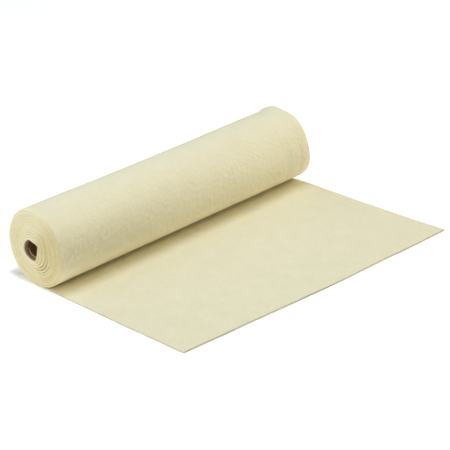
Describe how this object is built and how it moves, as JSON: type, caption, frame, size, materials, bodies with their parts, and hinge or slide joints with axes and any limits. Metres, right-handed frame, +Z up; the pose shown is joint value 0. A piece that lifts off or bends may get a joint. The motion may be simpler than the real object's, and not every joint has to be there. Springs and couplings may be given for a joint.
{
  "type": "roll of felt",
  "caption": "Thick cream felt wound in a spiral on a cardboard tube, with its loose end unrolled flat in front, ready for a length to be cut off.",
  "frame": {"origin": "on the surface that the part rests on, under the middle of the whole part's footprint", "axes": "+X along the roll's axis, away from the end that shows in the picture; +Y from the loose end's cut edge towards the roll; +Z up"},
  "size_m": [0.5086, 0.3682, 0.1144],
  "materials": {
    "felt": "matt needled felt, cream, soft fibrous surface with clean cut edges",
    "core": "brown spirally wound paper tube, matt"
  },
  "bodies": {
    "root": {"felt": "felt", "core": "core"}
  },
  "joints": []
}
